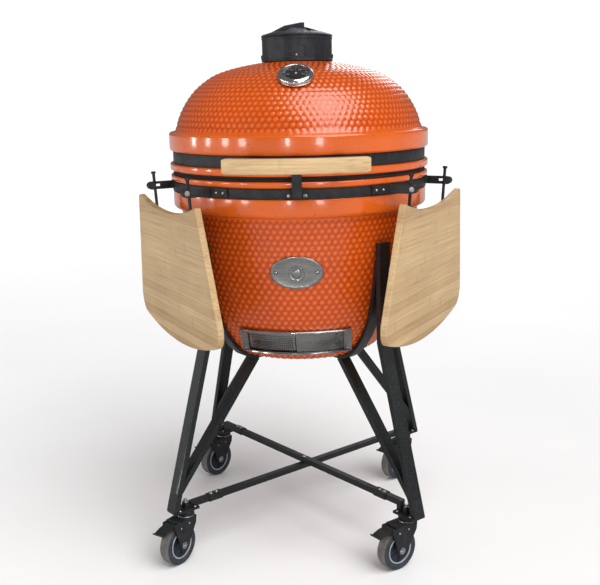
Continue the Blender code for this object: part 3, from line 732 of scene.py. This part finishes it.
def rolled_band(radii, heights):
    """A flat steel band with a small rolled edge at its top and bottom."""
    inner, outer = radii
    parts = [(ring(inner, outer, *heights, 0.0009, 200), COAT)]
    for z in heights:
        parts.append((ring(outer - 0.0008, outer + 0.0007, z - 0.0009, z + 0.0009, 0.0006, 200), COAT))
    return parts


def bands():
    make("base_band_rolled", rolled_band(BAND_R, BAND_Z), "grill", ("base_band",))
    lug = slab((-0.010, -0.3085, 0.9150), (0.010, -0.2955, 0.9250))
    make("lid_band_rolled", rolled_band(LID_BAND_R, LID_BAND_Z) + [(lug, COAT)], "lid", ("lid_band",))


def handle():
    (r0, r1), (z0, z1) = GRIP_R, GRIP_Z
    loop = eased([(r0, z0), (r1, z0), (r1, z1), (r0, z1)], 0.0048, 5, True)
    rows = []
    for i in range(61):
        share = i / 60
        angle = -GRIP_HALF_ANGLE + 2 * GRIP_HALF_ANGLE * share
        shrink = 1.0 - 0.10 * max(0.0, 1 - min(share, 1 - share) * 60) ** 2
        middle = ((r0 + r1) / 2, (z0 + z1) / 2)
        rows.append([place(middle[0] + (r - middle[0]) * shrink, angle, middle[1] + (z - middle[1]) * shrink)
                     for r, z in loop])
    make("handle_grip_bamboo", [(grid(rows, caps=True), BAMBOO)], "lid", ("handle_grip",), grain=True)
    for side, azimuth in (("l", -17.0), ("r", 17.0)):
        softened(f"handle_bracket_{side}", COAT, 0.0009)
        parts = []
        for x in (-0.0125, 0.0125):
            out = place(1, azimuth)
            at = about(azimuth) @ Vector((x, -0.3025, 0.9218))
            parts += painted(dome_bolt(at, out, 0.0038, 0.0022), COAT)
        make(f"handle_bracket_screws_{side}", parts, "lid")


def latch():
    softened("latch_bracket", COAT, 0.0007)
    softened("latch_hook", COAT, 0.0010)
    parts = []
    for x in (-0.0185, 0.0185):
        parts += painted(dome_bolt((x, -0.3046, 0.8535), (0, -1, 0), 0.0036, 0.0024), ZINC)
    for x, axis in ((-0.0145, -1), (0.0145, 1)):
        parts += painted(dome_bolt((x, -0.3130, 0.8545), (axis, 0, 0), 0.0040, 0.0018, False), ZINC)
    make("latch_screws", parts, "grill")


def coil(x, side):
    """A torsion spring round the hinge pin, with one leg on the lid and one on the bracket."""
    turns, mean, wire = 5, 0.0194, 0.0023
    path = []
    for i in range(turns * 20 + 1):
        angle = 2 * math.pi * i / 20
        path.append((x - 0.0112 + 0.0224 * i / (turns * 20), PIN_Y + mean * math.cos(angle),
                     PIN_Z + mean * math.sin(angle)))
    path.insert(0, (path[0][0], PIN_Y + mean, PIN_Z - 0.020))
    path.append((path[-1][0], PIN_Y + mean, PIN_Z + 0.020))
    make(f"hinge_spring_{side}_coil", [(pipe(path, wire), STEEL)], "grill", (f"hinge_spring_{side}",))


def hinge():
    softened("hinge_lid_arm", COAT, 0.0010)
    softened("hinge_base_bracket", COAT, 0.0010)
    softened("hinge_pin", ZINC, 0.0008)
    coil(-0.0575, "l")
    coil(0.0575, "r")
    for name, body, y, z in (("lid", "lid", 0.3024, 0.9218), ("base", "grill", 0.3046, 0.8568)):
        parts = []
        for x in (-0.020, 0.0, 0.020):
            parts += painted(hex_bolt((x, y, z), (0, 1, 0), 0.0048), ZINC)
        make(f"hinge_bolts_{name}", parts, body)


# ---------------------------------------------------------------- base fittings

def side_radius(z):
    for (r0, z0), (r1, z1) in zip(BASE_SIDE, BASE_SIDE[1:]):
        if z0 <= z <= z1:
            return r0 + (r1 - r0) * (z - z0) / (z1 - z0)
    return BASE_SIDE[-1][0]


def on_body(x, z, lift):
    radius = side_radius(z) + lift
    return Vector((x, -math.sqrt(radius * radius - x * x), z))


def body_axis(x, z):
    ahead = on_body(x, z + 0.004, 0) - on_body(x, z - 0.004, 0)
    return (on_body(x + 0.004, z, 0) - on_body(x - 0.004, z, 0)).cross(ahead).normalized()


def plate():
    pose = about(PLATE_AZ)
    half_x, half_z = PLATE_HALF
    profile = [(0.0, 0.0026), (0.35, 0.0026), (0.60, 0.0026), (0.86, 0.0026), (0.885, 0.0030), (0.915, 0.0032),
               (0.95, 0.0031), (0.985, 0.0027), (1.0, 0.0018), (1.0, 0.0002)]
    rows = []
    for share, lift in profile:
        share = max(share, 0.001)
        rows.append([on_body(half_x * share * x, PLATE_Z + half_z * share * y, lift) for x, y in circle(72)])
    parts = [(grid(rows, caps=True), STEEL)]
    boss = [(0.0165, 0.0), (0.0165, 0.0008), (0.0158, 0.0011), (0.0146, 0.0008), (0.0138, 0.0004),
            (0.0098, 0.0004), (0.0090, 0.0012), (0.0060, 0.0020), (0.0, 0.0022)]
    seat = facing(on_body(0, PLATE_Z - 0.002, 0.0026), body_axis(0, PLATE_Z))
    parts.append((turned(boss, 48, seat), STEEL))
    for i in range(8):
        turn = seat @ Matrix.Rotation(math.radians(45 * i), 4, "Z")
        parts.append((slab((0.0104, -0.0007, 0.0002), (0.0134, 0.0007, 0.0012), turn), STEEL))
    # Thin dark rings at the boss's edge and in its step: painted shadow in the gap and the groove.
    parts.append((ring(0.0166, 0.0172, 0.0, 0.0002, 0.0001, 48, seat), DIAL_AND_GAP_SHADE))
    parts.append((ring(0.0098, 0.0103, 0.0, 0.0007, 0.0001, 48, seat), DIAL_AND_GAP_SHADE))
    for x in (-0.045, 0.045):
        seat = facing(on_body(x, PLATE_Z, 0.0026), body_axis(x, PLATE_Z))
        # A thin dark ring round each rivet: painted shadow in the gap.
        parts.append((ring(0.0030, 0.0042, 0.0, 0.0002, 0.0001, 24, seat), DIAL_AND_GAP_SHADE))
        rivet = dome_bolt(on_body(x, PLATE_Z, 0.0026), body_axis(x, PLATE_Z), 0.0032, 0.0018, False)
        parts += painted(rivet, CHROME)
    make("name_plate_oval", parts, "grill", ("name_plate",), pose)


def curved_sheet(left, right, low, high, inner, outer, across=40):
    """A piece of sheet that follows the bowl, between two lifts above it."""
    levels = [low + (high - low) * k / 10 for k in range(11)]
    loops = []
    for i in range(across + 1):
        x = left + (right - left) * i / across
        loops.append([on_body(x, z, inner) for z in levels] + [on_body(x, z, outer) for z in reversed(levels)])
    return grid(loops, caps=True)


def pierced_sheet(left, right, low, high, inner, outer, pitch, hole):
    """The same sheet with a square grid of round holes in it."""
    columns = round((right - left) / pitch)
    lines = round((high - low) / pitch)
    wide, tall = (right - left) / columns, (high - low) / lines
    edge = [(0.5, 0), (0.5, 0.5), (0, 0.5), (-0.5, 0.5), (-0.5, 0), (-0.5, -0.5), (0, -0.5), (0.5, -0.5)]
    points, faces = [], []
    for c in range(columns):
        for r in range(lines):
            x, z = left + (c + 0.5) * wide, low + (r + 0.5) * tall
            loops = []
            for lift, open_side in ((inner, False), (inner, True), (outer, True), (outer, False)):
                if open_side:
                    loops.append([on_body(x + hole * u, z + hole * v, lift) for u, v in circle(8)])
                else:
                    loops.append([on_body(x + u * wide, z + v * tall, lift) for u, v in edge])
            some_points, some_faces = grid(loops)
            start = len(points)
            points += some_points
            faces += [tuple(start + i for i in face) for face in some_faces]
    return points, faces


def draft_door():
    pose = about(DOOR_AZ)
    low, high = DOOR_Z
    softened("draft_frame", STEEL, 0.0010, 30)
    trim = []
    for z in (low + 0.0030, high - 0.0030):
        path = [on_body(-DOOR_HALF + 0.002 + (2 * DOOR_HALF - 0.004) * i / 48, z, 0.0086) for i in range(49)]
        trim.append((pipe(path, 0.0017), CHROME))
    for x in (-DOOR_HALF + 0.0085, DOOR_HALF - 0.0085):
        for z in (low + 0.012, high - 0.012):
            trim += painted(dome_bolt(on_body(x, z, 0.0078), body_axis(x, z), 0.0030, 0.0018, False), ZINC)
    make("draft_frame_trim", trim, "grill", pose=pose)
    bottom, top = low + 0.0058, high - 0.0058
    slide = [(curved_sheet(0.002, 0.106, bottom, top, 0.0040, 0.0054), STEEL)]
    slide.append((curved_sheet(0.0925, 0.0950, bottom + 0.006, top - 0.006, 0.0050, 0.0096, 2), STEEL))
    make("draft_slide_plate", slide, "draft_slide", ("draft_slide",), pose, bevel=0.0003)
    back, front, hem = 0.0018, 0.0032, 0.005
    holes = pierced_sheet(-0.100, -0.004, bottom + hem, top - hem, back, front, 0.0049, 0.00165)
    screen = [(holes, STEEL), (curved_sheet(-0.106, -0.100, bottom, top, back, front, 4), STEEL),
              (curved_sheet(-0.004, 0.000, bottom, top, back, front, 4), STEEL),
              (curved_sheet(-0.100, -0.004, bottom, bottom + hem, back, front), STEEL),
              (curved_sheet(-0.100, -0.004, top - hem, top, back, front), STEEL)]
    make("draft_screen_pierced", screen, "draft_screen", ("draft_screen",), pose)


def board_outline():
    """A shelf seen square on, about the middle of its hinge line: hollow top, deep sides, bowed foot."""
    top = [(-0.166 + 0.332 * i / 24, -0.0246 - 0.0265 * (1 - (-1 + i / 12) ** 2)) for i in range(25)]
    corner = spline([(0.1690, -0.0248), (0.1722, -0.0272), (0.1745, -0.0320)], 3)
    foot = spline([(0.2305, -0.2750), (0.2304, -0.2855), (0.2290, -0.2965), (0.2240, -0.3105),
                   (0.2130, -0.3215), (0.1950, -0.3280)], 3)
    arc = [(0.195 - 0.390 * i / 24, -0.3280 - 0.0290 * (1 - (1 - i / 12) ** 2)) for i in range(1, 24)]
    mirrored = [(-x, z) for x, z in reversed(corner + foot)]
    return top + corner + foot + arc + mirrored


def shelf(side, azimuth):
    lean = Matrix.Rotation(math.radians(SHELF_LEAN), 4, "X")
    pose = Matrix.Translation(place(SHELF_R, azimuth, SHELF_Z)) @ about(azimuth) @ lean
    rows = [[(x, y, z) for x, z in board_outline()] for y in (-0.0111, 0.0037)]
    body = "shelf_left" if side == "l" else "shelf_right"
    make(f"shelf_board_{side}_bamboo", [(grid(rows, caps=True), BAMBOO)], body, (f"shelf_board_{side}",),
         pose, sharp=60, bevel=0.0026, grain=True)
    softened(f"shelf_carrier_{side}", COAT, 0.0006)
    parts = []
    for x in (-0.080, 0.080):
        parts += painted(dome_bolt((x, 0.0070, -0.101), (0, 1, 0), 0.0042, 0.0024), ZINC)
    for x in (-0.1035, 0.1035):
        for z in (-0.150, -0.225):
            parts += saddle(x, z)
    make(f"shelf_fixings_{side}", parts, body, pose=pose, grain=True)


def saddle(x, z):
    """A clip that holds a rod to the back of the board."""
    rows = []
    for y in (z - 0.006, z + 0.006):
        loop = [(x - 0.0105, 0.0038), (x - 0.0050, 0.0038)]
        loop += [(x + 0.0046 * math.cos(math.radians(a)), 0.0075 + 0.0046 * math.sin(math.radians(a)))
                 for a in range(180, -1, -30)]
        loop += [(x + 0.0050, 0.0038), (x + 0.0105, 0.0038), (x + 0.0105, 0.0050), (x + 0.0058, 0.0050)]
        loop += [(x + 0.0056 * math.cos(math.radians(a)), 0.0077 + 0.0056 * math.sin(math.radians(a)))
                 for a in range(0, 181, 30)]
        loop += [(x - 0.0058, 0.0050), (x - 0.0105, 0.0050)]
        rows.append([(u, v, y) for u, v in loop])
    screws = []
    for u in (x - 0.0080, x + 0.0080):
        screws += painted(dome_bolt((u, 0.0050, z), (0, 1, 0), 0.0017, 0.0009, False), ZINC)
    return [(grid(rows, caps=True), COAT)] + screws


def shelf_arms():
    foot = math.degrees(math.asin(0.1115 / 0.3028))
    for name, sign in (("lf", 1), ("lr", -1), ("rf", -1), ("rr", 1)):
        azimuth = SHELF_AZ[name[0]]
        softened(f"shelf_arm_{name}", COAT, 0.0006)
        parts = []
        for offset in (3.4, 6.9):
            turn = azimuth + sign * (foot + offset)
            parts += painted(dome_bolt(place(0.3046, turn, 0.8566), place(1, turn), 0.0033, 0.0022), ZINC)
        pin = about(azimuth) @ Vector((sign * 0.1137, -SHELF_R, SHELF_Z))
        out = about(azimuth) @ Vector((sign, 0, 0))
        parts += painted(hex_bolt(pin, out, 0.0044, 0.0034), ZINC)
        make(f"shelf_arm_bolts_{name}", parts, "grill")


# ---------------------------------------------------------------- cart

def cart():
    for name, azimuth in (("fl", -45), ("fr", 45), ("rl", -135), ("rr", 135)):
        softened(f"leg_frame_{name}", FRAME, 0.0014, 30)
        turn = about(azimuth + CART_AZ)
        bar = BAR_Z["a" if azimuth in (45, -135) else "b"]
        parts = []
        for r in (0.2745, 0.2900):
            parts += painted(dome_bolt(turn @ Vector((0, -r, bar + 0.0086)), UP, 0.0042, 0.0024), ZINC)
        points, faces = sleeve_shape(bar)
        parts.append((([turn @ p for p in points], faces), FRAME))
        for x in (-0.0130, 0.0130):
            for r in (0.3440, 0.3850):
                parts += painted(dome_bolt(turn @ Vector((x, -r, 0.1260)), UP, 0.0034, 0.0020), ZINC)
        stem = Matrix.Translation(turn @ Vector((0, -STEM_R, 0.1390)))
        post = [(0.0072, 0), (0.0072, 0.0006), (0.0044, 0.0010), (0.0044, 0.0060), (0.0038, 0.0066), (0, 0.0066)]
        make(f"leg_fixings_{name}", parts + [(turned(post, 24, stem), ZINC)], "grill")
    softened("cross_bar_a", FRAME, 0.0012)
    softened("cross_bar_b", FRAME, 0.0012)
    make("cross_bar_bolt", painted(dome_bolt((0, 0, BAR_Z["a"] + 0.0070), UP, 0.0052, 0.0030), ZINC), "grill")
    seat = ring(0.086, 0.1175, 0.4478, 0.4549, 0.0010, 96)
    make("cradle_ring_seat", [(seat, FRAME)], "grill", ("cradle_ring",))


def sleeve_shape(bar):
    """The square sleeve over the joint between a leg's stub and the cross bar."""
    x, z = 0.0094, 0.0084
    section = eased([(-x, -z), (x, -z), (x, z), (-x, z)], 0.002, 3, True)
    return grid([[Vector((u, -r, bar + v)) for u, v in section] for r in (0.2620, 0.3000)], caps=True)


def tyre(corner, azimuth, at):
    """The wheel, turned about X, with a ribbed hub and a pale ring on its face."""
    pose = Matrix.Translation(at) @ about(azimuth) @ Matrix.Rotation(math.radians(90), 4, "Y")
    profile = [(0.0343, -0.0122), (0.0395, -0.0136), (0.0440, -0.0140), (0.0466, -0.0130), (0.0478, -0.0105),
               (0.0480, -0.0060), (0.0474, -0.0054), (0.0480, -0.0048), (0.0480, 0.0048), (0.0474, 0.0054),
               (0.0480, 0.0060), (0.0478, 0.0105), (0.0466, 0.0130), (0.0440, 0.0140), (0.0395, 0.0136),
               (0.0343, 0.0122)]
    tread = turned(eased(profile, 0.0008, 2, True), 96, closed=True)
    make(f"tyre_{corner}_rubber", [(tread, RUBBER)], f"wheel_{corner}", (f"tyre_{corner}",), pose)
    half = [(0.0051, 0.0146), (0.0102, 0.0146), (0.0112, 0.0138), (0.0130, 0.0106), (0.0150, 0.0096),
            (0.0290, 0.0092), (0.0300, 0.0112), (0.0316, 0.0120), (0.0340, 0.0120)]
    loop = half + [(r, -z) for r, z in reversed(half)]
    parts = [(turned(eased(loop, 0.0008, 2, True), 72, closed=True), HUB)]
    for side in (-1, 1):
        parts.append((turned(eased([(0.0300, side * 0.0112), (0.0306, side * 0.0128), (0.0328, side * 0.0130),
                                    (0.0336, side * 0.0118)], 0.0005, 2), 72), RING))
        for k in range(6):
            spoke = Matrix.Rotation(math.radians(60 * k), 4, "Z")
            low, high = sorted((side * 0.0088, side * 0.0112))
            parts.append((slab((0.0118, -0.0014, low), (0.0296, 0.0014, high), spoke), HUB))
    make(f"wheel_hub_{corner}_ribbed", parts, f"wheel_{corner}", (f"wheel_hub_{corner}",), pose)


def caster(corner, stem_azimuth, trail_azimuth):
    stem = place(STEM_R, stem_azimuth + CART_AZ)
    softened(f"caster_fork_{corner}", COAT, 0.0008, 30)
    softened(f"brake_pedal_{corner}", PLASTIC, 0.0007, 30)
    tyre(corner, trail_azimuth, stem + place(TRAIL, trail_azimuth, WHEEL_R))
    pose = Matrix.Translation(stem) @ about(trail_azimuth)
    parts = []
    for side in (-1, 1):
        parts += painted(hex_bolt((side * 0.0205, -TRAIL, WHEEL_R), (side, 0, 0), 0.0062, 0.0040), ZINC)
        for y, z in ((-0.012, 0.0950), (-0.040, 0.0920)):
            parts += painted(dome_bolt((side * 0.0205, y, z), (side, 0, 0), 0.0027, 0.0015, False), ZINC)
    parts.append((ring(0.0085, 0.0206, 0.1068, 0.1092, 0.0009, 48), ZINC))
    make(f"caster_fixings_{corner}", parts, f"caster_{corner}", pose=pose)


# ---------------------------------------------------------------- stage

def stage():
    made, tree, shader = paint("floor", 0.75)
    pale = ramp(tree, noise(tree, 1.5, 3.0), [(0.3, 0.90), (0.7, 0.93)])
    mirrored = node(tree, "LightPath").outputs["Is Glossy Ray"]
    tree.links.new(mixed(tree, mirrored, pale, (0.30, 0.30, 0.30)), shader.inputs["Base Color"])
    reach = node(tree, "VectorMath", {0: node(tree, "TexCoord").outputs["Object"]}, operation="LENGTH")
    glow = node(tree, "MapRange", {"Value": reach.outputs["Value"], "From Min": 1.0, "From Max": 6.0,
                                  "To Min": 0.0, "To Max": 0.30}, interpolation_type="SMOOTHSTEP")
    shader.inputs["Emission Color"].default_value = (1.0, 1.0, 1.0, 1)
    tree.links.new(glow.outputs["Result"], shader.inputs["Emission Strength"])
    mesh = bpy.data.meshes.new("floor")
    far = 40
    mesh.from_pydata([(-far, -far, 0), (far, -far, 0), (far, far, 0), (-far, far, 0)], [], [(0, 1, 2, 3)])
    mesh.materials.append(made)
    floor = linked("floor", mesh)
    world = bpy.data.worlds.new("studio")
    world.use_nodes = True
    tree = world.node_tree
    rays = node(tree, "LightPath")
    seen = maths(tree, "MULTIPLY", rays.outputs["Is Camera Ray"], 0.75)
    mirrored = maths(tree, "MULTIPLY", rays.outputs["Is Glossy Ray"], -0.16)
    strength = maths(tree, "ADD", maths(tree, "ADD", seen, mirrored), 0.30)
    tree.links.new(strength, tree.nodes["Background"].inputs["Strength"])
    tree.nodes["Background"].inputs["Color"].default_value = (1.0, 1.0, 1.0, 1)
    bpy.context.scene.world = world
    bpy.context.scene.view_settings.view_transform = "Standard"


def lamp(name, azimuth, distance, height, size, power, aim=0.75):
    light = bpy.data.lights.new(name, "AREA")
    light.shape = "RECTANGLE"
    light.size, light.size_y = size
    light.energy = power
    made = linked(name, light)
    made.location = place(distance, azimuth, height)
    made.rotation_mode = "QUATERNION"
    made.rotation_quaternion = (Vector((0, 0, aim)) - made.location).to_track_quat("-Z", "Y")


def lights():
    sky = bpy.data.lights.new("sky", "SUN")
    sky.energy = 2.15
    sky.angle = math.radians(50)
    made = linked("sky", sky)
    made.rotation_mode = "QUATERNION"
    made.rotation_quaternion = (-place(0.60, 42, 1.0)).to_track_quat("-Z", "Y")
    lamp("key", 28, 3.2, 2.5, (1.6, 1.6), 22)
    lamp("fill", -50, 3.6, 1.8, (1.8, 1.4), 4)
    lamp("back", 165, 3.0, 2.4, (1.6, 1.2), 14)
    windows = ((-98, 0.35), (-80, 0.30), (-62, 0.42), (-46, 0.42), (-8, 0.22), (18, 0.40))
    for number, (azimuth, wide) in enumerate(windows):
        lamp(f"window_{number}", azimuth, 4.2, 0.95, (wide, 0.55), 7, 0.95)


def camera():
    data = bpy.data.cameras.new("camera")
    data.sensor_width, data.lens = 36.0, 55.9
    made = linked("camera", data)
    made.location = place(2.244, 1.0, 1.071)
    pan, pitch, roll = (math.radians(angle) for angle in (1.09, 90 - 12.32, -1.08))
    turn = Matrix.Rotation(pan, 4, "Z") @ Matrix.Rotation(pitch, 4, "X") @ Matrix.Rotation(roll, 4, "Z")
    made.rotation_euler = turn.to_euler()
    bpy.context.scene.camera = made


ceramic()
fire_parts()
vent()
thermometer()
bands()
handle()
latch()
hinge()
plate()
draft_door()
for side, shelf_azimuth in SHELF_AZ.items():
    shelf(side, shelf_azimuth)
shelf_arms()
cart()
for corner, (stem_azimuth, trail_azimuth) in CASTERS.items():
    caster(corner, stem_azimuth, trail_azimuth)
stage()
lights()
camera()
